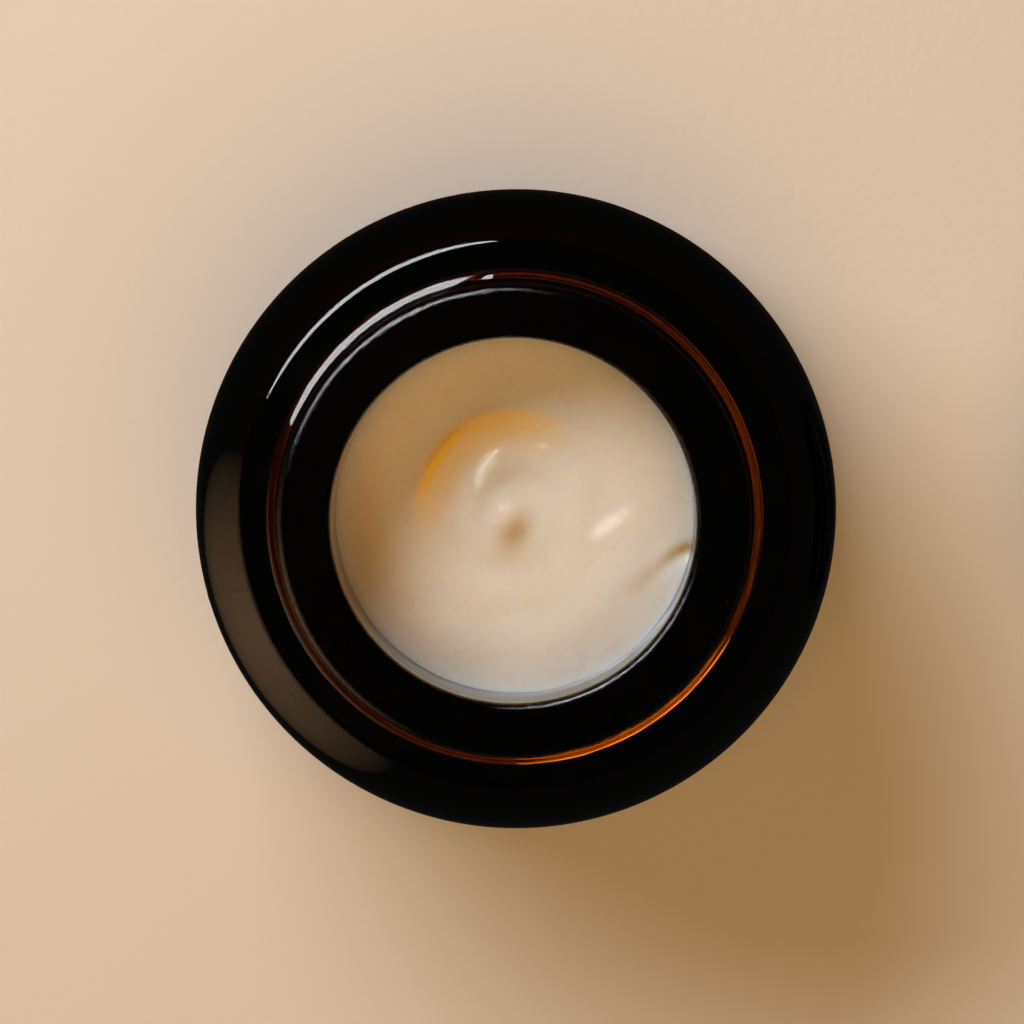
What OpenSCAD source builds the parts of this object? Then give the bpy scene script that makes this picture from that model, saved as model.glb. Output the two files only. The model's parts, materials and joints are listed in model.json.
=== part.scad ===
// Cosmetic cream jar: threaded glass jar, cream, sealing disc and two-piece screw lid.
// The jar stands on z = 0 with its axis on Z. The lid lies open side up beside it.

/* [Jar body] */
// Outer diameter of the body
body_d = 62; // [58:1:76]
// Height from the table to the lip
jar_h = 42.5; // [38:0.5:60]
// Height of the shoulder, from the top of the straight side to the neck
shoulder_h = 7.5; // [6:0.5:12]
// Height of the rounded band between side and shoulder
shoulder_band_h = 2.5; // [1:0.1:3]
// Width of the flat ledge round the neck
ledge_w = 1.9; // [1:0.1:2.2]
// Radius of the bend between ledge and shoulder
ledge_bend_r = 2; // [1:0.1:2.5]
// Radius of the heel
heel_r = 3; // [1:0.5:5]
// Width of the ring the jar stands on
foot_w = 3.5; // [2:0.5:5]
// Depth of the hollow under the base
push_up = 1; // [0.5:0.1:2]

/* [Cavity] */
// Diameter of the bore through the neck
bore_d = 34.2; // [28:0.2:36]
// Thickness of the side wall
wall = 8; // [6:0.5:12]
// Thickness of the base
base_t = 8; // [5:0.5:9]
// Radius between the cavity's wall and its floor
floor_r = 7; // [2:0.5:9]
// Height of the curve where the cavity narrows into the neck
inner_shoulder_h = 6; // [4:0.5:8]

/* [Neck finish] */
// Height of the neck above the shoulder
neck_h = 10; // [9:0.5:12]
// Diameter of the neck between the threads
neck_d = 44.6; // [42:0.2:46]
// How far the thread stands out from the neck
thread_h = 1.2; // [0.8:0.1:1.5]
// Rise of the thread in one turn
pitch = 4.23; // [3.5:0.01:5]
// Width of the thread at the neck
thread_root_w = 2.2; // [1.6:0.1:2.4]
// Width of the thread at its crest
thread_crest_w = 1.1; // [0.6:0.1:1.4]
// Length of the thread, in degrees
thread_sweep = 454; // [360:2:480]
// Where the thread begins, in degrees from +X
thread_start = 110; // [0:5:355]
// Depth of the thread's first turn below the lip
thread_drop = 2.9; // [2.4:0.1:3.5]
// Radius of the lip's outer edge
lip_outer_r = 1.2; // [0.5:0.1:1.5]
// Radius of the lip's inner edge
lip_inner_r = 0.9; // [0.4:0.1:1.2]

/* [Cream] */
// Depth of the cream's edge below the lip
fill_drop = 9; // [7:0.5:12]
// Height of the folds on the cream
fold_h = 0.7; // [0.2:0.1:1]
// Height of the point in the middle
peak_h = 1.8; // [0.5:0.1:2]

/* [Sealing disc] */
// Gap between the disc and the lid's thread
disc_gap = 0.2; // [0.15:0.05:1]
// Thickness of the disc
disc_t = 1; // [0.6:0.1:1.5]
// Depth of the dish that drops into the mouth
dish_h = 1.5; // [1:0.1:2]
// Gap between the dish and the bore
dish_gap = 0.8; // [0.6:0.1:2]
// Length of the pull bar in the dish
bar_l = 16; // [10:1:24]
// Width of the pull bar
bar_w = 2; // [1.5:0.5:3]

/* [Lid] */
// Thickness of the foam liner
liner_t = 1; // [0.5:0.1:1.5]
// Gap around the liner
liner_gap = 0.3; // [0.1:0.1:0.6]
// Thickness of the inner cap's top
cap_top_t = 1.2; // [1:0.1:2]
// Thickness of the inner cap's side
cap_wall = 1.2; // [1:0.1:2]
// Thickness of the shell's top
shell_top_t = 1.5; // [1.2:0.1:2.5]
// Thickness of the shell's side
shell_wall = 1.3; // [1.1:0.1:2]
// Radius of the shell's top edge
shell_edge_r = 1.2; // [0.5:0.1:1.5]
// How far the skirt reaches below the lip when closed
skirt_drop = 8.9; // [8.5:0.1:9.2]
// Gap between lid and neck threads, all round
thread_gap = 0.3; // [0.25:0.05:0.5]
// Width of the lid's thread at its root
cap_thread_root_w = 2; // [1.4:0.1:2.2]
// Width of the lid's thread at its crest
cap_thread_crest_w = 1; // [0.6:0.1:1.2]
// Length of the lid's thread, in degrees
cap_thread_sweep = 500; // [360:10:510]
// Turning from open to closed, in degrees
lid_turn = 630; // [610:10:650]
// Height of the bead that holds the shell on
bead_h = 0.3; // [0.2:0.05:0.4]
// Gap between the jar and the lid that lies beside it
lid_gap = 22.7; // [15:0.1:60]

/* [Hidden] */

ARC_STEPS = 8;          // straight pieces in each rounded edge of an outline
THREAD_STEP = 7.5;      // degrees between the thread's sections
ROOT_BITE = 0.5;        // how far a thread or a bead is rooted in its wall
THREAD_RUN_IN = 30;     // degrees over which a thread rises and fades
TOUCH = 0.02;           // air between faces that meet but move apart
CREAM_FILM = 0.02;      // air between the cream and the glass wall
CUT = 1;                // how far a cutter starts outside the solid it cuts
JOIN = 0.1;             // how far two joined solids run into each other

body_r = body_d / 2;
bore_r = bore_d / 2;
neck_r = neck_d / 2;
cavity_r = body_r - wall;
shoulder_z = jar_h - neck_h;
root_fillet_r = 1;      // between neck and shoulder
ledge_r = neck_r + root_fillet_r;
cavity_drop = 7;        // the cavity's wall turns in this far below the outer side's top
side_z = shoulder_z - shoulder_h;
cavity_top_z = side_z - cavity_drop;

// The side bows over to a line from the knee that just touches the bend round the ledge.
bend_x = ledge_r + ledge_w;
bend_z = shoulder_z - ledge_bend_r;
shoulder_knee = [body_r, side_z + shoulder_band_h];
knee_away = shoulder_knee - [bend_x, bend_z];
bend_angle = atan2(knee_away[1], knee_away[0]) + acos(ledge_bend_r / norm(knee_away));
bend_start = [bend_x + ledge_bend_r * cos(bend_angle), bend_z + ledge_bend_r * sin(bend_angle)];

cream_z = jar_h - fill_drop;
fold_rings = 3;         // folds between the middle of the cream and its edge
peak_power = 6;         // how steeply the point in the middle falls away

thread_crest_r = neck_r + thread_h;
cap_bore_r = thread_crest_r + thread_gap;
cap_thread_r = neck_r + thread_gap;
cap_r = cap_bore_r + cap_wall;
shell_r = cap_r + shell_wall;
lid_x = body_r + shell_r + lid_gap;
disc_r = cap_thread_r - disc_gap;
dish_r = bore_r - dish_gap;
dish_wall = 1;          // thickness of the dish's side, measured at its foot
dish_draft = 0.5;       // how much the dish narrows towards its end
bar_inset = 0.2;        // how far the pull bar stands back from the rim
lid_travel = pitch * lid_turn / 360;

// Heights in the lid's own stack, counted from its top face, which is on the table.
cap_z = shell_top_t;
liner_z = cap_z + cap_top_t;
liner_top_z = liner_z + liner_t + TOUCH;
disc_closed_z = liner_top_z + TOUCH;
lip_closed_z = disc_closed_z + disc_t;
rim_z = lip_closed_z + skirt_drop;
disc_z = disc_closed_z + lid_travel;
disc_face_z = disc_z + disc_t;
bead_z = (cap_z + rim_z) / 2;
bead_w = 1.6;           // width of the bead at its foot
bead_crest_w = 0.4;     // width of the bead at its crest
shell_rim_r = 0.4;      // radius of the shell's rim

// The lid's thread runs half a pitch away from the neck's at every turn of the lid.
cap_thread_lift = 0.3;  // air between the liner and the thread
cap_thread_z0 = liner_top_z + cap_thread_root_w / 2 + cap_thread_lift;
cap_phase_z = lip_closed_z + thread_drop + pitch / 2 - pitch * (180 - lid_turn - thread_start) / 360;
cap_thread_start = (cap_thread_z0 - cap_phase_z) * 360 / pitch;

// Points on an elliptical arc, from angle a0 to a1.
function arc(cx, cz, rx, rz, a0, a1) =
    [for (i = [0:ARC_STEPS]) let (a = a0 + (a1 - a0) * i / ARC_STEPS) [cx + rx * cos(a), cz + rz * sin(a)]];

// Points between a and c on a curve that leaves and arrives in the direction of b.
function bow(a, b, c) =
    [for (i = [1:ARC_STEPS - 1]) let (u = i / ARC_STEPS) (1 - u) * (1 - u) * a + 2 * u * (1 - u) * b + u * u * c];

// Rises from 0 to 1 over the thread's run-in, and falls again over its run-out.
function run_in(a, sweep) = min(1, a / THREAD_RUN_IN, (sweep - a) / THREAD_RUN_IN);

// One section of a thread: radius at the root and at the crest, half widths at both, angle and height.
function section(root_r, crest_r, root_w, crest_w, a, z) =
    [for (p = [[root_r, -root_w], [crest_r, -crest_w], [crest_r, crest_w], [root_r, root_w]])
        [p[0] * cos(a), p[0] * sin(a), z + p[1]]];

// A right-hand thread. out is 1 on the outside of a wall and -1 on the inside of one.
module thread(wall_r, height, root_w, crest_w, start, z, sweep, out) {
    steps = ceil(sweep / THREAD_STEP);
    flank = (root_w - crest_w) / 2 / height;
    rings = [for (i = [0:steps])
        let (a = sweep * i / steps, t = run_in(a, sweep), crest = (height + ROOT_BITE / 2) * t - ROOT_BITE / 2)
        section(wall_r - out * ROOT_BITE, wall_r + out * crest, root_w / 2 + flank * ROOT_BITE,
            root_w / 2 - flank * crest, start + a, z + pitch * a / 360)];
    sides = [for (i = [0:steps - 1], k = [0:3])
        let (p = 4 * i + k, n = 4 * i + (k + 1) % 4) each [[p, n, n + 4], [p, n + 4, p + 4]]];
    last = 4 * steps;
    ends = [[2, 1, 0], [3, 2, 0], [last, last + 1, last + 2], [last, last + 2, last + 3]];
    faces = concat(sides, ends);
    polyhedron([for (ring = rings) each ring], out > 0 ? faces : [for (f = faces) [f[2], f[1], f[0]]]);
}

module glass_jar() color([0.16, 0.06, 0.02]) {
    rotate_extrude($fn = 96)
        polygon(concat(
            [[0, push_up], [body_r - heel_r - foot_w - 2 * push_up, push_up], [body_r - heel_r - foot_w, 0]],
            arc(body_r - heel_r, heel_r, heel_r, heel_r, -90, 0),
            [[body_r, side_z]],
            bow([body_r, side_z], shoulder_knee, bend_start),
            arc(bend_x, bend_z, ledge_bend_r, ledge_bend_r, bend_angle, 90),
            arc(ledge_r, shoulder_z + root_fillet_r, root_fillet_r, root_fillet_r, 270, 180),
            arc(neck_r - lip_outer_r, jar_h - lip_outer_r, lip_outer_r, lip_outer_r, 0, 90),
            arc(bore_r + lip_inner_r, jar_h - lip_inner_r, lip_inner_r, lip_inner_r, 90, 180),
            arc(bore_r, cavity_top_z, cavity_r - bore_r, inner_shoulder_h, 90, 0),
            arc(cavity_r - floor_r, base_t + floor_r, floor_r, floor_r, 0, -90),
            [[0, base_t]]));
    thread(neck_r, thread_h, thread_root_w, thread_crest_w, thread_start - thread_sweep,
        jar_h - thread_drop - pitch * thread_sweep / 360, thread_sweep, 1);
}

// Fills the cavity; its top falls in soft rings from the point in the middle.
module cream() color([0.93, 0.88, 0.78]) {
    samples = 36;
    top_r = bore_r - CREAM_FILM;
    top = [for (i = [samples:-1:0]) let (u = i / samples)
        let (fold = fold_h * (1 - cos(360 * fold_rings * u)) / 2 * (1 - u), peak = peak_h * pow(1 - u, peak_power))
        [top_r * u, cream_z + fold + peak]];
    rotate_extrude($fn = 96)
        polygon(concat(
            [[0, base_t]],
            arc(cavity_r - floor_r - CREAM_FILM, base_t + floor_r, floor_r, floor_r, -90, 0),
            arc(bore_r - CREAM_FILM, cavity_top_z, cavity_r - bore_r, inner_shoulder_h - CREAM_FILM, 0, 90),
            top));
}

// A flat rim with a shallow dish, open side down, and a pull bar inside the dish.
module sealing_disc() color([0.95, 0.95, 0.94]) translate([lid_x, 0, 0]) {
    difference() {
        union() {
            translate([0, 0, disc_z]) cylinder(r = disc_r, h = disc_t, $fn = 96);
            translate([0, 0, disc_face_z]) cylinder(r1 = dish_r, r2 = dish_r - dish_draft, h = dish_h, $fn = 96);
        }
        translate([0, 0, disc_z - CUT]) cylinder(r = dish_r - dish_wall, h = dish_h + CUT, $fn = 96);
    }
    translate([-bar_l / 2, -bar_w / 2, disc_z + bar_inset]) cube([bar_l, bar_w, dish_h - bar_inset + JOIN]);
}

module lid_liner() color([0.92, 0.92, 0.9])
    translate([lid_x, 0, liner_z + TOUCH]) cylinder(r = cap_bore_r - liner_gap, h = liner_t, $fn = 96);

module lid_inner_cap() color([0.09, 0.09, 0.1]) translate([lid_x, 0, 0]) {
    difference() {
        union() {
            translate([0, 0, cap_z]) cylinder(r = cap_r, h = rim_z - cap_z, $fn = 96);
            translate([0, 0, bead_z]) snap_bead(0);
        }
        translate([0, 0, liner_z]) cylinder(r = cap_bore_r, h = rim_z, $fn = 96);
    }
    thread(cap_bore_r, cap_bore_r - cap_thread_r, cap_thread_root_w, cap_thread_crest_w, cap_thread_start,
        cap_thread_z0, cap_thread_sweep, -1);
}

// Ridge round the inner cap; the shell's groove is the same ridge, grown by gap.
module snap_bead(gap)
    rotate_extrude($fn = 96)
        polygon([
            [cap_r - ROOT_BITE, -bead_w / 2 - gap],
            [cap_r, -bead_w / 2 - gap],
            [cap_r + bead_h + gap, -bead_crest_w / 2],
            [cap_r + bead_h + gap, bead_crest_w / 2],
            [cap_r, bead_w / 2 + gap],
            [cap_r - ROOT_BITE, bead_w / 2 + gap]]);

module lid_shell() color([0.06, 0.06, 0.065]) translate([lid_x, 0, 0])
    difference() {
        rotate_extrude($fn = 96)
            polygon(concat(
                [[0, 0]],
                arc(shell_r - shell_edge_r, shell_edge_r, shell_edge_r, shell_edge_r, -90, 0),
                arc(shell_r - shell_rim_r, rim_z - shell_rim_r, shell_rim_r, shell_rim_r, 0, 90),
                [[0, rim_z]]));
        translate([0, 0, cap_z]) cylinder(r = cap_r + TOUCH, h = rim_z, $fn = 96);
        translate([0, 0, bead_z]) snap_bead(TOUCH);
    }

glass_jar();
cream();
sealing_disc();
lid_liner();
lid_inner_cap();
lid_shell();
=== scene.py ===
import json
import math
import bmesh
import bpy
import numpy as np
from mathutils import Matrix, Vector, noise


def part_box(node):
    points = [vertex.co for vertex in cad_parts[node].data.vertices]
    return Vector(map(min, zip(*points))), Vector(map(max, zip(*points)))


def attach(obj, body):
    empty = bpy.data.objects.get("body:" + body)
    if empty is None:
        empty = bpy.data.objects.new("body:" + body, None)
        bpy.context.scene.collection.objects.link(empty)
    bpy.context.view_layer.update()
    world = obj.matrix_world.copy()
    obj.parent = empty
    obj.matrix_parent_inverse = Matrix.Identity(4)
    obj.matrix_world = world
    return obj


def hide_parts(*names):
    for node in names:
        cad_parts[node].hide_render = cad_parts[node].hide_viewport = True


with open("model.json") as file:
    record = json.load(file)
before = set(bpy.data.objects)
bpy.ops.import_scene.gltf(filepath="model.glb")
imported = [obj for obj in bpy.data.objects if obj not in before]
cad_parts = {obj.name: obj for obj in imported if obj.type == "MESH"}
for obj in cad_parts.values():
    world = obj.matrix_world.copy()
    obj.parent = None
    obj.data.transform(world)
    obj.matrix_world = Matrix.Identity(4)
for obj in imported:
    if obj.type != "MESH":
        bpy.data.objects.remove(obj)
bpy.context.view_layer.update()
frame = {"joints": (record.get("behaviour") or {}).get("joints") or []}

# Everything below is in millimetres until a mesh is made.
mm = 0.001


def boxOf(node):
    low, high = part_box(node)
    return low / mm, high / mm


jarLow, jarHigh = boxOf("glass_jar")
shellLow, shellHigh = boxOf("lid_shell")
capLow, capHigh = boxOf("lid_inner_cap")
linerLow, linerHigh = boxOf("lid_liner")
discLow, discHigh = boxOf("sealing_disc")
lipZ = jarHigh.z
bodyR = jarHigh.x
rimZ = shellHigh.z
lidX = (shellLow.x + shellHigh.x) / 2


# ---- camera, looking down into the open jar ----

view = {
    "from": (6.5, 31.0, 522.0),
    "at": (-0.4, -0.4, 22.0),
    "lens": 180.8,
    "sensor": 36.0,
}


def turnTo(thing, place, aim, up):
    back = (Vector(place) - Vector(aim)).normalized()
    side = Vector(up).cross(back).normalized()
    top = back.cross(side)
    turn = Matrix((side, top, back)).transposed().to_4x4()
    thing.matrix_world = Matrix.Translation(Vector(place) * mm) @ turn


lensData = bpy.data.cameras.new("jarCamera")
lensData.lens = view["lens"]
lensData.sensor_width = view["sensor"]
lensData.clip_start = 0.01
jarCamera = bpy.data.objects.new("jarCamera", lensData)
bpy.context.scene.collection.objects.link(jarCamera)
turnTo(jarCamera, view["from"], view["at"], (0, 1, 0))
bpy.context.scene.camera = jarCamera
print("camera set")


# ---- shader sums ----

# A socket that can stand in a sum: each operator adds its Math node.
class Wire:
    def __init__(self, finish, socket):
        self.finish = finish
        self.socket = socket

    def sum(self, operation, first, second):
        return self.finish.add("ShaderNodeMath", {"operation": operation}, {0: first, 1: second})

    def __add__(self, other):
        return self.sum("ADD", self, other)

    def __radd__(self, other):
        return self.sum("ADD", other, self)

    def __sub__(self, other):
        return self.sum("SUBTRACT", self, other)

    def __rsub__(self, other):
        return self.sum("SUBTRACT", other, self)

    def __mul__(self, other):
        return self.sum("MULTIPLY", self, other)

    def __rmul__(self, other):
        return self.sum("MULTIPLY", other, self)


# One material being built. add() makes any node, sets it up, feeds it and returns one of its outputs.
class Finish:
    def __init__(self, name):
        self.material = bpy.data.materials.new(name)
        self.material.use_nodes = True
        self.tree = self.material.node_tree
        self.tree.nodes.clear()

    def add(self, kind, settings=None, inputs=None, take=0):
        node = self.tree.nodes.new(kind)
        for key, value in (settings or {}).items():
            setattr(node, key, value)
        for key, value in (inputs or {}).items():
            if isinstance(value, Wire):
                self.tree.links.new(value.socket, node.inputs[key])
            else:
                node.inputs[key].default_value = value
        return Wire(self, node.outputs[take])

    # where a point is on the piece, in millimetres
    def spot(self):
        place = self.add("ShaderNodeTexCoord", take="Object")
        return self.add("ShaderNodeVectorMath", {"operation": "SCALE"}, {0: place, "Scale": 1 / mm})

    # noise with features about `size` millimetres across, between 0 and 1
    def grain(self, size, detail=3.0, rough=0.5, place=None):
        inputs = {"Vector": place or self.spot(), "Scale": 1 / size, "Detail": detail, "Roughness": rough}
        return self.add("ShaderNodeTexNoise", {}, inputs)

    def ramp(self, value, low, high):
        inputs = {"Value": value, "From Min": low, "From Max": high}
        return self.add("ShaderNodeMapRange", {"interpolation_type": "SMOOTHSTEP"}, inputs)

    def blend(self, share, first, second):
        return self.add("ShaderNodeMix", {"data_type": "RGBA"}, {0: share, 6: first, 7: second}, take=2)

    def bump(self, height, depth, normal=None):
        inputs = {"Height": height, "Distance": depth * mm, "Strength": 1.0}
        if normal:
            inputs["Normal"] = normal
        return self.add("ShaderNodeBump", {}, inputs)

    def principled(self, inputs):
        return self.add("ShaderNodeBsdfPrincipled", {}, inputs)

    def done(self, surface, volume=None):
        output = self.tree.nodes.new("ShaderNodeOutputMaterial")
        self.tree.links.new(surface.socket, output.inputs["Surface"])
        if volume:
            self.tree.links.new(volume.socket, output.inputs["Volume"])
        return self.material


def rgb(red, green, blue):
    return (red, green, blue, 1.0)


# ---- mesh helpers ----

def smooth(low, high, value):
    share = min(1.0, max(0.0, (value - low) / (high - low)))
    return share * share * (3 - 2 * share)


def arc(centreR, centreZ, radiusR, radiusZ, start, end, steps=10):
    points = []
    for i in range(steps + 1):
        a = math.radians(start + (end - start) * i / steps)
        points.append((centreR + radiusR * math.cos(a), centreZ + radiusZ * math.sin(a)))
    return points


# Points between two ends on a curve that leaves and arrives in the direction of `knee`.
def bow(start, knee, end, steps):
    points = []
    for i in range(1, steps):
        u = i / steps
        first, middle, last = (1 - u) ** 2, 2 * u * (1 - u), u * u
        points.append(tuple(first * s + middle * k + last * e for s, k, e in zip(start, knee, end)))
    return points


# Cuts the long straight stretches of an outline into pieces no longer than `step`.
def dense(outline, step):
    points = [outline[0]]
    for start, end in zip(outline, outline[1:]):
        length = math.dist(start, end)
        if length < 1e-6:
            continue
        count = max(1, math.ceil(length / step))
        for i in range(1, count + 1):
            share = i / count
            points.append((start[0] + (end[0] - start[0]) * share, start[1] + (end[1] - start[1]) * share))
    return points


# Turns an outline that starts and ends on the axis into a closed solid. shape() may move each point.
def lathe(name, outline, angles, centreX=0.0, shape=None):
    rows = outline[1:-1]
    verts = [(centreX, 0.0, outline[0][1])]
    for r, z in rows:
        for a in angles:
            newR, newZ = shape(r, z, a) if shape else (r, z)
            verts.append((centreX + newR * math.cos(a), newR * math.sin(a), newZ))
    endR, endZ = shape(0.0, outline[-1][1], 0.0) if shape else outline[-1]
    verts.append((centreX, 0.0, endZ))
    count = len(angles)
    faces = [(0, 1 + (i + 1) % count, 1 + i) for i in range(count)]
    for row in range(len(rows) - 1):
        base = 1 + row * count
        for i in range(count):
            following = (i + 1) % count
            faces.append((base + i, base + following, base + count + following, base + count + i))
    base = 1 + (len(rows) - 1) * count
    last = len(verts) - 1
    faces += [(base + i, base + (i + 1) % count, last) for i in range(count)]
    mesh = bpy.data.meshes.new(name)
    mesh.from_pydata([Vector(v) * mm for v in verts], [], faces)
    return addPiece(name, mesh)


def addPiece(name, mesh):
    tidy = bmesh.new()
    tidy.from_mesh(mesh)
    bmesh.ops.recalc_face_normals(tidy, faces=tidy.faces)
    tidy.to_mesh(mesh)
    tidy.free()
    for face in mesh.polygons:
        face.use_smooth = True
    piece = bpy.data.objects.new(name, mesh)
    bpy.context.scene.collection.objects.link(piece)
    return piece


def evenAngles(count):
    return [2 * math.pi * i / count for i in range(count)]


# How far a right-hand thread stands out at one point. It climbs from `start` degrees and `low` mm.
def threadLift(spec, a, z):
    lift = 0.0
    turned = (math.degrees(a) - spec["start"]) % 360
    while turned <= spec["sweep"]:
        away = abs(z - spec["low"] - spec["pitch"] * turned / 360)
        side = 1 - smooth(spec["crestWide"] / 2, spec["rootWide"] / 2, away)
        ends = smooth(0, spec["runIn"], min(turned, spec["sweep"] - turned))
        lift = max(lift, spec["height"] * side * ends)
        turned += 360
    return lift


def dress(piece, material, body, slot, *nodes):
    piece.data.materials.append(material)
    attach(piece, body)
    if nodes:
        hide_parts(*nodes)


# ---- amber glass jar ----

jar = {
    "sideTop": 25.0,
    "bandHigh": 2.5,
    "bendR": 2.0,
    "heel": 3.0,
    "footWide": 3.5,
    "pushUp": 1.0,
    "boreR": 17.1,
    "wall": 8.0,
    "baseThick": 8.0,
    "floorR": 7.0,
    "innerShoulder": 6.0,
    "cavityDrop": 7.0,
    "neckHigh": 10.0,
    "neckR": 22.3,
    "rootR": 1.0,
    "lipOuter": 1.2,
    "lipInner": 0.9,
    "ledge": 1.9,
    "seamAngle": 16.0,
    "seamHigh": 0.03,
    "seamWide": 0.28,
    "seamReach": 0.03,
    "footRibs": 120,
    "footRibHigh": 0.12,
    "sway": 0.12,
    "threadBegins": 110.0,
    "threadDrop": 2.9,
}
jarThread = {
    "sweep": 454.0,
    "pitch": 4.23,
    "height": 1.2,
    "rootWide": 2.3,
    "crestWide": 0.5,
    "runIn": 16.0,
}
jarThread["start"] = jar["threadBegins"] - jarThread["sweep"]
jarThread["low"] = lipZ - jar["threadDrop"] - jarThread["pitch"] * jarThread["sweep"] / 360

shoulderZ = lipZ - jar["neckHigh"]
cavityR = bodyR - jar["wall"]
cavityTop = jar["sideTop"] - jar["cavityDrop"]
lipInnerX = jar["boreR"] + jar["lipInner"]
footX = bodyR - jar["heel"] - jar["footWide"]
floorTurnZ = jar["baseThick"] + jar["floorR"]
floorTurnX = cavityR - jar["floorR"]


# The straight side bows over to a line that just touches the bend round the ledge.
def shoulderCurve(ledgeX):
    centre = (ledgeX, shoulderZ - jar["bendR"])
    knee = (bodyR, jar["sideTop"] + jar["bandHigh"])
    away = math.dist(centre, knee)
    touch = math.atan2(knee[1] - centre[1], knee[0] - centre[0]) + math.acos(jar["bendR"] / away)
    bend = arc(*centre, jar["bendR"], jar["bendR"], math.degrees(touch), 90, 12)
    return [(bodyR, jar["sideTop"])] + bow((bodyR, jar["sideTop"]), knee, bend[0], 28) + bend


def glassOutline():
    heelX = bodyR - jar["heel"]
    rootX = jar["neckR"] + jar["rootR"]
    lipX = jar["neckR"] - jar["lipOuter"]
    outline = [(0, jar["pushUp"]), (footX - 2 * jar["pushUp"], jar["pushUp"]), (footX, 0.0)]
    outline += arc(heelX, jar["heel"], jar["heel"], jar["heel"], -90, 0, 12)
    outline += shoulderCurve(rootX + jar["ledge"])
    outline += arc(rootX, shoulderZ + jar["rootR"], jar["rootR"], jar["rootR"], 270, 180, 10)
    neckFoot = (jar["neckR"], shoulderZ + jar["rootR"])
    outline += dense([neckFoot, (jar["neckR"], lipZ - jar["lipOuter"])], 0.16)
    outline += arc(lipX, lipZ - jar["lipOuter"], jar["lipOuter"], jar["lipOuter"], 0, 90, 12)
    outline += arc(lipInnerX, lipZ - jar["lipInner"], jar["lipInner"], jar["lipInner"], 90, 180, 10)
    outline += arc(jar["boreR"], cavityTop, cavityR - jar["boreR"], jar["innerShoulder"], 90, 0, 16)
    outline += arc(floorTurnX, floorTurnZ, jar["floorR"], jar["floorR"], 0, -90, 8)
    outline += [(0, jar["baseThick"])]
    return dense(outline, 1.2)


# Moves one point of the jar: ribs under the foot, an uneven inside, the thread and the mould seam.
def glassShape(r, z, a):
    onNeck = z > shoulderZ - 0.5 and r > lipInnerX + 0.5
    onBody = z > 0.5 and r > cavityR + 0.5
    if not onNeck and not onBody:
        if z < 0.05 and r > footX:
            return r, z + jar["footRibHigh"] * (0.5 + 0.5 * math.cos(a * jar["footRibs"]))
        if z > jar["baseThick"] - 0.01:
            sway = noise.noise(Vector((math.cos(a) * 1.3, math.sin(a) * 1.3, z / 9)))
            return r + jar["sway"] * sway * smooth(lipZ - 1, lipZ - 6, z), z
        return r, z
    lift = 0.0
    if onNeck and r < jar["neckR"] + 0.5:
        lift = threadLift(jarThread, a, z) * smooth(lipZ - 0.6, lipZ - 1.4, z)
    turned = (a - math.radians(jar["seamAngle"]) + math.pi / 2) % math.pi - math.pi / 2
    seam = jar["seamHigh"] * math.exp(-((turned * r / jar["seamWide"]) ** 2))
    seam *= smooth(lipZ - 0.2, lipZ - 1.2, z)
    lean = smooth(jar["sideTop"], jar["sideTop"] + 4, z) * 0.5
    if r > bodyR - 0.2:
        seam = min(seam, bodyR - r)
    return r + lift + seam * (1 - lean), z + seam * lean


# Even angles, with more of them near each seam.
def seamedAngles(count, seams, reach):
    angles = evenAngles(count)
    half, closest = 6, 0.0012
    for seam in seams:
        for i in range(-half, half + 1):
            angles.append(math.radians(seam) + reach * i / half)
    angles = sorted(a % (2 * math.pi) for a in angles)
    kept = [angles[0]]
    for a in angles[1:]:
        if a - kept[-1] > closest:
            kept.append(a)
    return kept


def amberGlass():
    look = Finish("amberGlass")
    smear = look.ramp(look.grain(9.0, 4.0, 0.6), 0.5, 0.75)
    dust = look.ramp(look.grain(0.35, 2.0, 0.6), 0.68, 0.74)
    height = look.add("ShaderNodeSeparateXYZ", {}, {0: look.spot()}, take=2)
    onLip = look.ramp(height, lipZ - 1.3, lipZ - 0.5)
    ripple = look.bump(look.grain(7.0, 1.0), 0.03)
    pits = look.bump(look.grain(0.35, 3.0, 0.7) * onLip, 0.05, ripple)
    body = look.principled({
        "Base Color": rgb(1.0, 0.97, 0.9),
        "Roughness": 0.012 + 0.03 * smear + 0.1 * dust,
        "IOR": 1.52,
        "Transmission Weight": 1.0,
        "Normal": pits,
    })
    soak = look.add("ShaderNodeVolumeAbsorption", {}, {"Color": rgb(0.78, 0.56, 0.045), "Density": 1000.0})
    return look.done(body, soak)


seams = (jar["seamAngle"], jar["seamAngle"] + 180)
glassJar = lathe("jarGlass", glassOutline(), seamedAngles(360, seams, jar["seamReach"]), shape=glassShape)
dress(glassJar, amberGlass(), "jar", "amber_glass", "glass_jar")
print("jar made")


# ---- cream ----

cream = {
    "below": 9.5,
    "tilt": (0.04, 0.055),
    "wave": 4.7,
    "ridgeR": 5.0,
    "ridgeAngle": 125.0,
    "ridgeHigh": 0.28,
    "ridgeFrom": (1.5, 4.5),
    "ridgeFade": 10.0,
    "ridgeLeast": 0.1,
    "ridgeBack": 0.35,
    "waves": ((7.0, 0.2, 2.0), (2.4, 0.02, 7.0)),
    "rimHigh": 0.3,
    "rimWide": 0.45,
    "intoGlass": 0.06,
}
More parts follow.
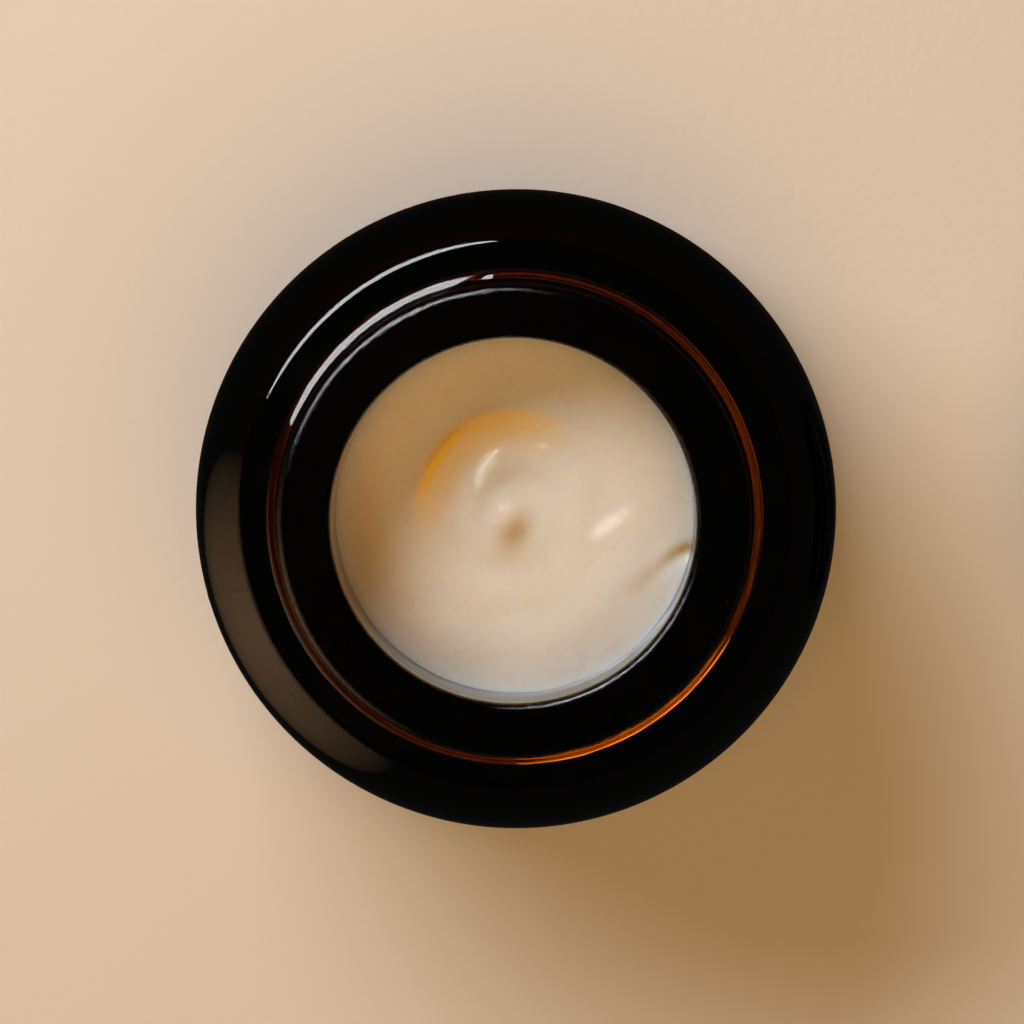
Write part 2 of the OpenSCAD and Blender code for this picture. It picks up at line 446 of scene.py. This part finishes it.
# Marks left by the spatula: four points of a curve, height and half width.
strokes = {
    "mound": (((0.1, 0.5), (-0.3, 0.0), (-0.7, -0.6), (-1.2, -1.4)), 0.8, 1.6),
    "tip": (((-0.3, 0.6), (-0.4, 0.6), (-0.5, 0.5), (-0.6, 0.4)), 0.2, 0.45),
    "curl": (((-0.8, 6.2), (-2.4, 5.7), (-3.5, 4.4), (-3.4, 2.3)), 0.3, 0.48),
    "curlBack": (((-0.4, 5.7), (-1.6, 5.2), (-2.6, 4.2), (-2.8, 2.2)), 0.3, 1.3),
    "fold": (((-2.2, 9.7), (-5.7, 8.5), (-8.2, 5.2), (-9.5, 0.9)), 0.3, 0.48),
    "foldBack": (((-1.2, 8.9), (-4.8, 7.8), (-7.2, 5.2), (-8.6, 0.6)), 0.5, 1.6),
    "dab": (((7.7, -1.9), (8.5, -1.2), (9.3, -0.6), (10.8, 0.6)), 0.08, 0.9),
    "speck": (((2.3, 7.0), (2.6, 6.9), (2.9, 6.8), (3.2, 6.7)), 0.1, 0.5),
    "groove": (((18.4, -2.6), (16.2, -2.9), (14.0, -5.2), (12.0, -7.2)), -0.25, 0.8),
}


# Light and shade painted into the cream's colour, by kind: painted shade, painted amber light standing for
# light through the glass, and painted highlights. Each mark: four points of a curve, strength and half
# width.
creamPaintedLight = {
    # Painted shade: the shadow under the tip, the shade in and below the groove, and shade down the left
    # side.
    "paintedShade": {
        "tip": (((0.1, -0.2), (0.6, -1.4), (-0.1, -2.6), (-1.4, -3.6)), 0.95, 1.5),
        "groove": (((16.9, -3.0), (15.6, -2.9), (14.2, -4.4), (12.0, -6.4)), 0.9, 0.55),
        "grooveFoot": (((13.4, -5.2), (12.6, -6.0), (11.6, -6.8), (10.4, -7.5)), 0.35, 0.9),
        "side": (((-13.2, 6.0), (-15.2, 1.0), (-14.6, -5.0), (-11.0, -10.0)), 0.5, 2.8),
    },
    # Painted amber light: a golden arc standing for light that comes through the amber glass.
    "paintedAmberLight": {
        "arc": (((-4.2, 8.5), (-6.8, 7.2), (-7.9, 4.2), (-9.5, 1.0)), 1.6, 0.45),
    },
    # Painted highlights: the glint on the curl, the dab, a dot and a speck.
    "paintedHighlight": {
        "curl": (((-1.7, 5.4), (-2.8, 4.8), (-3.5, 3.9), (-3.3, 2.6)), 2.2, 0.38),
        "dab": (((7.3, -2.2), (8.4, -1.3), (9.2, -0.8), (11.3, 0.9)), 1.1, 0.65),
        "dot": (((-1.2, 0.8), (-1.25, 0.7), (-1.3, 0.65), (-1.4, 0.5)), 0.9, 0.2),
        "speck": (((2.3, 6.7), (2.6, 6.7), (2.9, 6.7), (3.2, 6.6)), 0.9, 0.2),
    },
}
# A painted band of amber light inside the fold, standing for light through the amber glass: centre, edge
# and fade radii, the way it faces, strength.
paintedAmberBand = {
    "centre": (-0.2, 0.7),
    "edge": (9.9, 8.9),
    "fade": (4.0, 8.8),
    "towards": 125.0,
    "strength": 0.68,
}


def curvePoint(points, t):
    weights = ((1 - t) ** 3, 3 * t * (1 - t) ** 2, 3 * t * t * (1 - t), t ** 3)
    return sum((w * Vector(p) for w, p in zip(weights, points)), Vector((0, 0)))


# A mark is a row of small mounds along its curve. Only the groove's near end doesn't fade.
def strokeMounds(name, points, high, wide):
    count = 16
    row = [curvePoint(points, i / (count - 1)) for i in range(count)]
    gap = sum((b - a).length for a, b in zip(row, row[1:])) / (count - 1)
    share = high / max(1.0, wide * math.sqrt(math.pi) / gap)
    fade = [math.sin(math.pi * (i + 0.5) / count) ** 0.7 for i in range(count)]
    if name == "groove":
        fade = [math.cos(math.pi / 2 * i / count) ** 1.5 for i in range(count)]
    return [(p, share * f, wide) for p, f in zip(row, fade)]


def allMounds(marks):
    mounds = [mound for name, mark in marks.items() for mound in strokeMounds(name, *mark)]
    return tuple(np.array(column) for column in zip(*mounds))


def moundSum(mounds, x, y):
    places, highs, wides = mounds
    away = ((places - (x, y)) ** 2).sum(axis=1)
    return float((highs * np.exp(-away / wides ** 2)).sum())


reliefMounds = allMounds(strokes)
paintedLightMounds = {kind: allMounds(marks) for kind, marks in creamPaintedLight.items()}


def creamHeight(x, y):
    r = math.hypot(x, y)
    a = math.degrees(math.atan2(y, x))
    turned = ((cream["ridgeAngle"] - a) % 360) / 360
    phase = (r - cream["ridgeR"]) / cream["wave"] - turned
    crest = 0.5 + 0.5 * math.cos(2 * math.pi * phase)
    facing = 0.5 + 0.5 * math.cos(math.radians(a - cream["ridgeAngle"]))
    least, back = cream["ridgeLeast"], cream["ridgeBack"]
    fade = least + (1 - least) * math.exp(-((r / cream["ridgeFade"]) ** 2))
    reach = smooth(*cream["ridgeFrom"], r) * fade * (back + (1 - back) * facing)
    z = cream["ridgeHigh"] * crest * reach
    z += cream["tilt"][0] * x + cream["tilt"][1] * y
    z += moundSum(reliefMounds, x, y)
    for size, high, layer in cream["waves"]:
        z += high * noise.noise(Vector((x / size, y / size, layer)))
    z += cream["rimHigh"] * math.exp(-(jar["boreR"] - min(r, jar["boreR"])) / cream["rimWide"])
    return lipZ - cream["below"] + z


# Painted amber light inside the fold, standing for light through the amber glass, strongest at its crisp
# outer edge.
def paintedAmberBandAt(x, y):
    away = Vector((x, y)) - Vector(paintedAmberBand["centre"])
    r = away.length
    turned = math.atan2(away.y, away.x) - math.radians(paintedAmberBand["towards"])
    share = smooth(*paintedAmberBand["edge"], r) * smooth(*paintedAmberBand["fade"], r)
    return paintedAmberBand["strength"] * share * smooth(0.1, 0.95, math.cos(turned))


# Writes how much painted shade, painted amber light and painted highlight every point has, as one attribute
# per kind.
def paintLightOnCream(mesh):
    for kind, mounds in paintedLightMounds.items():
        layer = mesh.attributes.new(kind, "FLOAT", "POINT")
        for point, value in zip(mesh.vertices, layer.data):
            x, y, z = point.co / mm
            share = moundSum(mounds, x, y) if z > lipZ - cream["below"] - 3 else 0.0
            if kind == "paintedAmberLight":
                # The painted amber band inside the fold is added to the painted golden arc.
                share = max(share, paintedAmberBandAt(x, y))
            value.value = min(1.0, share)


def creamOutline():
    wide = cream["intoGlass"]
    topZ = lipZ - cream["below"]
    outline = [(0, jar["baseThick"] - wide)]
    outline += arc(floorTurnX, floorTurnZ, jar["floorR"] + wide, jar["floorR"] + wide, -90, 0, 8)
    outline += arc(jar["boreR"], cavityTop, cavityR - jar["boreR"] + wide,
                   jar["innerShoulder"] + wide, 0, 90, 14)
    outline = dense(outline + [(jar["boreR"] + wide, topZ - 1.6)], 2.0)
    outline += dense([(jar["boreR"] + wide, topZ), (0, topZ)], 0.13)
    return outline


def creamShape(r, z, a):
    if z < lipZ - cream["below"] - 0.001:
        return r, z
    return r, creamHeight(r * math.cos(a), r * math.sin(a))


def softCream():
    look = Finish("softCream")
    place = look.spot()
    cloud = look.grain(7.0, 3.0, 0.5, place)
    fine = look.grain(1.3, 4.0, 0.6, place)
    paintedShade, paintedAmberLight, paintedHighlight = [look.add("ShaderNodeAttribute", {"attribute_name": kind}, take=2) for kind in creamPaintedLight]
    colour = look.blend(cloud, rgb(0.76, 0.71, 0.655), rgb(0.74, 0.685, 0.62))
    # Painted shade: a tan brown where the cream lies in shade.
    colour = look.blend(paintedShade, colour, rgb(0.56, 0.37, 0.16))
    # Painted amber light: golden where light through the glass is painted.
    colour = look.blend(paintedAmberLight, colour, rgb(1.0, 0.62, 0.10))
    # Painted highlights: near white where glints are painted.
    colour = look.blend(paintedHighlight, colour, rgb(0.96, 0.93, 0.90))
    sheen = look.ramp(look.grain(3.0, 2.0, 0.5, place), 0.35, 0.7)
    relief = look.bump(fine, 0.02)
    body = look.principled({
        "Base Color": colour,
        "Roughness": 0.26 + 0.1 * sheen,
        "IOR": 1.42,
        "Subsurface Weight": 0.85,
        "Subsurface Radius": (1.0, 0.6, 0.3),
        "Subsurface Scale": 0.0026,
        "Coat Weight": 0.5 - 0.3 * paintedAmberLight,
        "Coat Roughness": 0.06,
        "Normal": relief,
    })
    return look.done(body)


creamFill = lathe("creamFill", creamOutline(), evenAngles(300), shape=creamShape)
paintLightOnCream(creamFill.data)
dress(creamFill, softCream(), "jar", "cream", "cream")
print("cream made")


# ---- sealing disc, lying in the mouth of the upturned lid ----

disc = {
    "r": 22.4,
    "thick": 1.0,
    "air": 0.02,
    "dishR": 16.3,
    "dishDeep": 1.5,
    "skin": 1.0,
    "edge": 0.2,
    "innerEdge": 0.4,
    "foot": 0.3,
    "dishEdge": 0.5,
    "dishLean": 0.5,
    "rings": (12.0, 8.0),
    "ringSize": (0.25, -0.12),
    "gate": (1.1, 1.0, 0.15),
    "bar": (16.0, 2.0, 1.3),
    "barUp": 0.2,
    "barBevel": 0.35,
}


def discOutline():
    low = discLow.z
    face = low + disc["thick"] - disc["air"]
    top = face + disc["dishDeep"]
    edge = disc["edge"]
    inR = disc["dishR"] - disc["skin"]
    outline = [(0, low + disc["dishDeep"])]
    inner, foot, bend = disc["innerEdge"], disc["foot"], disc["dishEdge"]
    outline += arc(inR - inner, low + disc["dishDeep"] - inner, inner, inner, 90, 0, 4)
    outline += arc(inR + edge, low + edge, edge, edge, 180, 270, 4)
    outline += arc(disc["r"] - edge, low + edge, edge, edge, -90, 0, 4)
    outline += arc(disc["r"] - edge, face - edge, edge, edge, 0, 90, 4)
    outline += arc(disc["dishR"] + foot, face + foot, foot, foot, 270, 180, 4)
    outline += arc(disc["dishR"] - disc["dishLean"] - bend, top - bend, bend, bend, 0, 90, 6)
    for ringR in disc["rings"]:
        outline += arc(ringR, top, *disc["ringSize"], 0, 180, 6)
    gateOut, gateIn, gateDeep = disc["gate"]
    outline += [(gateOut, top), (gateIn, top - gateDeep), (0, top - gateDeep)]
    return dense(outline, 0.8)


def roundedBar(name, centre, size, bevel):
    solid = bmesh.new()
    bmesh.ops.create_cube(solid, size=1.0)
    bmesh.ops.scale(solid, vec=Vector(size) * mm, verts=solid.verts)
    bmesh.ops.bevel(solid, geom=solid.edges[:], offset=bevel * mm, segments=3, profile=0.5, affect="EDGES")
    bmesh.ops.translate(solid, vec=Vector(centre) * mm, verts=solid.verts)
    mesh = bpy.data.meshes.new(name)
    solid.to_mesh(mesh)
    solid.free()
    return addPiece(name, mesh)


def waxyWhite():
    look = Finish("waxyWhite")
    place = look.spot()
    flow = look.grain(5.0, 2.0, 0.5, place)
    mark = look.ramp(look.grain(0.6, 4.0, 0.65, place), 0.55, 0.75)
    body = look.principled({
        "Base Color": look.blend(flow, rgb(0.82, 0.82, 0.80), rgb(0.88, 0.87, 0.84)),
        "Roughness": 0.32 + 0.14 * mark,
        "Subsurface Weight": 0.4,
        "Subsurface Radius": (1.0, 0.9, 0.8),
        "Subsurface Scale": 0.0012,
        "Normal": look.bump(mark, 0.012),
    })
    return look.done(body)


white = waxyWhite()
sealDisc = lathe("sealDisc", discOutline(), evenAngles(160), lidX)
dress(sealDisc, white, "disc", "white_plastic", "sealing_disc")
barLength, barWide, barHigh = disc["bar"]
barZ = discLow.z + disc["barUp"] + barHigh / 2
pullBar = roundedBar("discPullBar", (lidX, 0, barZ), (barLength, barWide, barHigh), disc["barBevel"])
dress(pullBar, white, "disc", "white_plastic")
sealDisc.visible_glossy = False  # or the jar's side mirrors it
print("disc made")


# ---- foam liner ----

liner = {
    "edge": 0.18,
    "pressR": (18.0, 21.0),
    "pressDeep": 0.12,
    "pressSlope": 0.3,
}


def linerOutline():
    r = linerHigh.x - lidX
    low, high, edge = linerLow.z, linerHigh.z, liner["edge"]
    inR, outR = liner["pressR"]
    press = high - liner["pressDeep"]
    outline = [(0, low)]
    outline += arc(r - edge, low + edge, edge, edge, -90, 0, 4)
    outline += arc(r - edge, high - edge, edge, edge, 0, 90, 4)
    slope = liner["pressSlope"]
    outline += [(outR + slope, high), (outR, press), (inR, press), (inR - slope, high), (0, high)]
    return dense(outline, 0.8)


def linerFoam():
    look = Finish("linerFoam")
    place = look.spot()
    cells = look.add("ShaderNodeTexVoronoi", {"feature": "SMOOTH_F1"}, {"Vector": place, "Scale": 3.5})
    patch = look.grain(6.0, 3.0, 0.5, place)
    body = look.principled({
        "Base Color": look.blend(patch, rgb(0.80, 0.79, 0.75), rgb(0.86, 0.85, 0.82)),
        "Roughness": 0.62 + 0.15 * cells,
        "Sheen Weight": 0.1,
        "Normal": look.bump(cells, 0.05),
    })
    return look.done(body)


foamLiner = lathe("foamLiner", linerOutline(), evenAngles(160), lidX)
dress(foamLiner, linerFoam(), "liner", "liner_foam", "lid_liner")
print("liner made")


# ---- inner cap ----

innerCap = {
    "boreR": 23.8,
    "edge": 0.3,
    "beadHigh": 0.3,
    "beadWide": 1.6,
    "threadUp": 0.3,
    "air": 0.02,
}
capThread = {
    "sweep": 500.0,
    "pitch": jarThread["pitch"],
    "height": 1.2,
    "rootWide": 2.0,
    "crestWide": 0.7,
    "runIn": 16.0,
}
turnJoint = next(j for j in frame["joints"] if j["name"] == "lid_turn")
lidTurn = turnJoint["range_deg"][1]
lipClosedZ = discLow.z - capThread["pitch"] * lidTurn / 360 + disc["thick"]
threadLow = linerHigh.z + capThread["rootWide"] / 2 + innerCap["threadUp"]
phaseTurn = 0.5 - (180 - lidTurn - jar["threadBegins"]) / 360
phaseZ = lipClosedZ + jar["threadDrop"] + capThread["pitch"] * phaseTurn
capThread["low"] = threadLow
capThread["start"] = (threadLow - phaseZ) * 360 / capThread["pitch"]


def capOutline():
    r = capHigh.x - lidX - innerCap["beadHigh"]
    low, high, edge = capLow.z, rimZ, innerCap["edge"]
    boreR = innerCap["boreR"]
    floorZ = linerLow.z - innerCap["air"]
    beadZ = (low + high) / 2
    half = innerCap["beadWide"] / 2
    outline = [(0, low), (r, low), (r, beadZ - half)]
    outline += [(r + innerCap["beadHigh"], beadZ), (r, beadZ + half)]
    outline += arc(r - edge, high - edge, edge, edge, 0, 90, 5)
    outline += arc(boreR + edge, high - edge, edge, edge, 90, 180, 5)
    outline += dense([(boreR, high - edge), (boreR, floorZ)], 0.2)
    outline += [(0, floorZ)]
    return dense(outline, 1.0)


def capShape(r, z, a):
    if abs(r - innerCap["boreR"]) > 0.01 or z > rimZ - innerCap["edge"]:
        return r, z
    return r - threadLift(capThread, a, z), z


def capPlastic():
    look = Finish("capPlastic")
    place = look.spot()
    skin = look.grain(0.25, 3.0, 0.6, place)
    worn = look.ramp(look.grain(4.0, 4.0, 0.6, place), 0.45, 0.7)
    body = look.principled({
        "Base Color": look.blend(worn, rgb(0.018, 0.018, 0.02), rgb(0.03, 0.03, 0.032)),
        "Roughness": 0.42 + 0.1 * skin + 0.08 * worn,
        "Normal": look.bump(skin, 0.01),
    })
    return look.done(body)


threadCap = lathe("threadCap", capOutline(), evenAngles(240), lidX, capShape)
dress(threadCap, capPlastic(), "lid", "inner_cap_plastic", "lid_inner_cap")
print("inner cap made")


# ---- lid shell ----

shell = {
    "edge": 1.2,
    "rimEdge": 0.4,
    "wall": 1.3,
    "top": 1.5,
    "line": 0.12,
    "lineHalf": 0.2,
    "lineUp": 1.1,
    "innerEdge": 0.15,
    "topDip": 0.18,
    "topDipR": (9.0, 8.4),
}


def shellOutline():
    r = shellHigh.x - lidX
    edge, rim = shell["edge"], shell["rimEdge"]
    inR = r - shell["wall"] + 0.01
    groove, half, inner = rimZ - shell["lineUp"], shell["lineHalf"], shell["innerEdge"]
    dip, (dipIn, dipOut) = shell["topDip"], shell["topDipR"]
    outline = [(0, dip), (r - dipIn, dip), (r - dipOut, 0.0)]
    outline += arc(r - edge, edge, edge, edge, -90, 0, 10)
    outline += [(r, groove - half), (r - shell["line"], groove), (r, groove + half)]
    outline += arc(r - rim, rimZ - rim, rim, rim, 0, 90, 6)
    outline += arc(inR + inner, rimZ - inner, inner, inner, 90, 180, 4)
    outline += [(inR, shell["top"]), (0, shell["top"])]
    return dense(outline, 1.0)


def shellPlastic():
    look = Finish("shellPlastic")
    place = look.spot()
    fine = look.grain(0.18, 3.0, 0.6, place)
    handled = look.ramp(look.grain(14.0, 2.0, 0.5, place), 0.2, 0.85)
    scuff = look.ramp(look.grain(0.7, 5.0, 0.7, place), 0.66, 0.74)
    body = look.principled({
        "Base Color": look.blend(scuff, rgb(0.012, 0.012, 0.013), rgb(0.035, 0.034, 0.033)),
        "Roughness": 0.27 + 0.06 * handled + 0.1 * scuff,
        "IOR": 1.5,
        "Normal": look.bump(fine, 0.006),
    })
    return look.done(body)


lidShell = lathe("lidShell", shellOutline(), evenAngles(240), lidX)
dress(lidShell, shellPlastic(), "lid", "shell_plastic", "lid_shell")
print("shell made")


# ---- floor and lights ----

def paleFloor():
    look = Finish("paleFloor")
    place = look.spot()
    tooth = look.grain(1.2, 4.0, 0.6, place)
    tone = look.grain(90.0, 2.0, 0.5, place)
    body = look.principled({
        "Base Color": look.blend(tone, rgb(0.74, 0.63, 0.54), rgb(0.71, 0.60, 0.51)),
        "Roughness": 0.85,
        "Normal": look.bump(tooth, 0.05),
    })
    return look.done(body)


floorHalf = 3.0
floorMesh = bpy.data.meshes.new("paleFloor")
corners = [(-1, -1, 0), (1, -1, 0), (1, 1, 0), (-1, 1, 0)]
floorMesh.from_pydata([Vector(c) * floorHalf for c in corners], [], [(0, 1, 2, 3)])
floorMesh.materials.append(paleFloor())
paleGround = bpy.data.objects.new("paleGround", floorMesh)
bpy.context.scene.collection.objects.link(paleGround)
paleGround.visible_glossy = False  # keeps a pale ring off the glass

# each lamp: compass angle from +X, height angle, distance, size, spread, power, colour, seen in the glass
lamps = {
    "keyLamp": (127, 37, 700, (700, 280), 180, 5.1, (0.95, 0.98, 1.0), True),
    "lowGlow": (208, -4, 1000, (1500, 1300), 75, 0.85, (1.0, 0.58, 0.30), True),
    "fillLamp": (290, 72, 1000, (1200, 1200), 180, 6.2, (1.0, 0.65, 0.28), False),
}
for name, (compass, height, away, size, spread, power, tint, shown) in lamps.items():
    lampData = bpy.data.lights.new(name, "AREA")
    lampData.shape = "ELLIPSE"
    lampData.size, lampData.size_y = (side * mm for side in size)
    lampData.spread = math.radians(spread)
    lampData.energy = power
    lampData.color = tint
    lamp = bpy.data.objects.new(name, lampData)
    lamp.visible_glossy = shown
    bpy.context.scene.collection.objects.link(lamp)
    turn, lift = math.radians(compass), math.radians(height)
    level = math.cos(lift)
    place = Vector((math.cos(turn) * level, math.sin(turn) * level, math.sin(lift))) * away
    turnTo(lamp, place + Vector((0, 0, 20)), (0, 0, 20), (0, 0, 1))

bpy.context.scene.view_settings.view_transform = "Standard"
room = bpy.data.worlds.new("softRoom")
room.use_nodes = True
room.node_tree.nodes["Background"].inputs["Color"].default_value = rgb(1.0, 0.93, 0.84)
room.node_tree.nodes["Background"].inputs["Strength"].default_value = 0.02
bpy.context.scene.world = room
print("floor and lights set")
